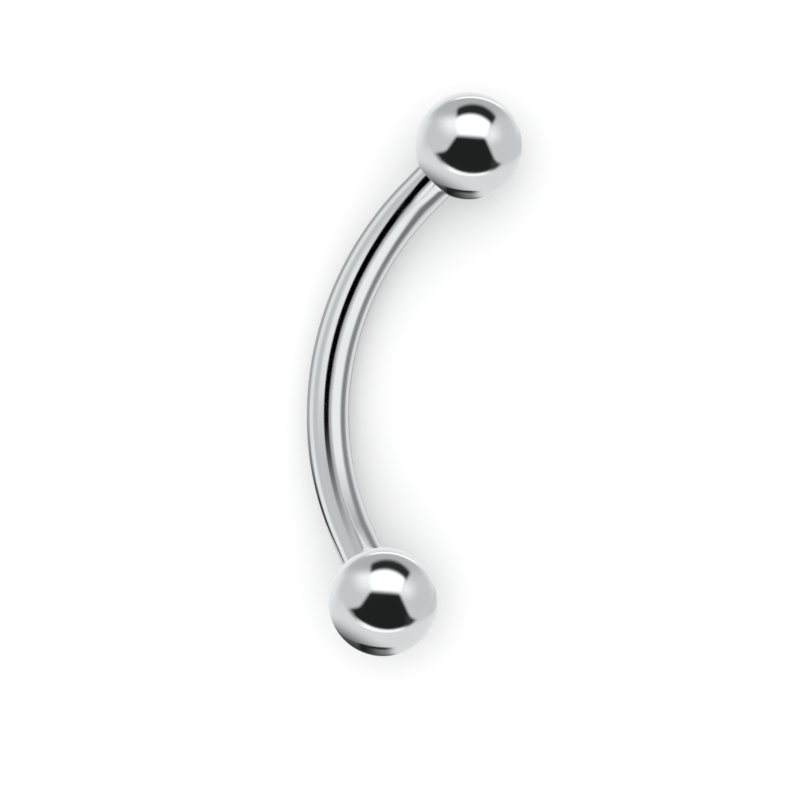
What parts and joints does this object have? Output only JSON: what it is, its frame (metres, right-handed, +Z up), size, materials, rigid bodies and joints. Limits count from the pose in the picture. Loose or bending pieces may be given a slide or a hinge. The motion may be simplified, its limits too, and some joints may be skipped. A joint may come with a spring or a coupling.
{
  "type": "eyebrow barbell",
  "caption": "Curved body-jewellery barbell for an eyebrow piercing: a bent, mirror-polished steel bar closed at each end by a screw-on steel ball.",
  "frame": {"origin": "on the surface that the barbell rests on, under the centre of its whole box", "axes": "+X from the lower ball to the upper ball, +Y from the hollow to the outside of the bend, +Z up"},
  "size_m": [0.016, 0.0048, 0.003],
  "materials": {
    "bar_steel": "drawn surgical steel, mirror polished, with faint polishing lines along the bar and cut threads on the ends",
    "ball_steel": "turned surgical steel, mirror polished all over, with a plain drilled and tapped hole"
  },
  "bodies": {
    "bar": {"curved_bar": "bar_steel"},
    "upper_ball": {"upper_ball": "ball_steel"},
    "lower_ball": {"lower_ball": "ball_steel"}
  },
  "joints": [
    {"name": "upper_ball_unscrew", "type": "slide", "parent": "bar", "child": "upper_ball", "axis": [0.7934, -0.5793, 0.187], "range_m": [0, 0.0021]},
    {"name": "lower_ball_unscrew", "type": "slide", "parent": "bar", "child": "lower_ball", "axis": [-0.7934, -0.5793, 0.187], "range_m": [0, 0.0021]}
  ]
}
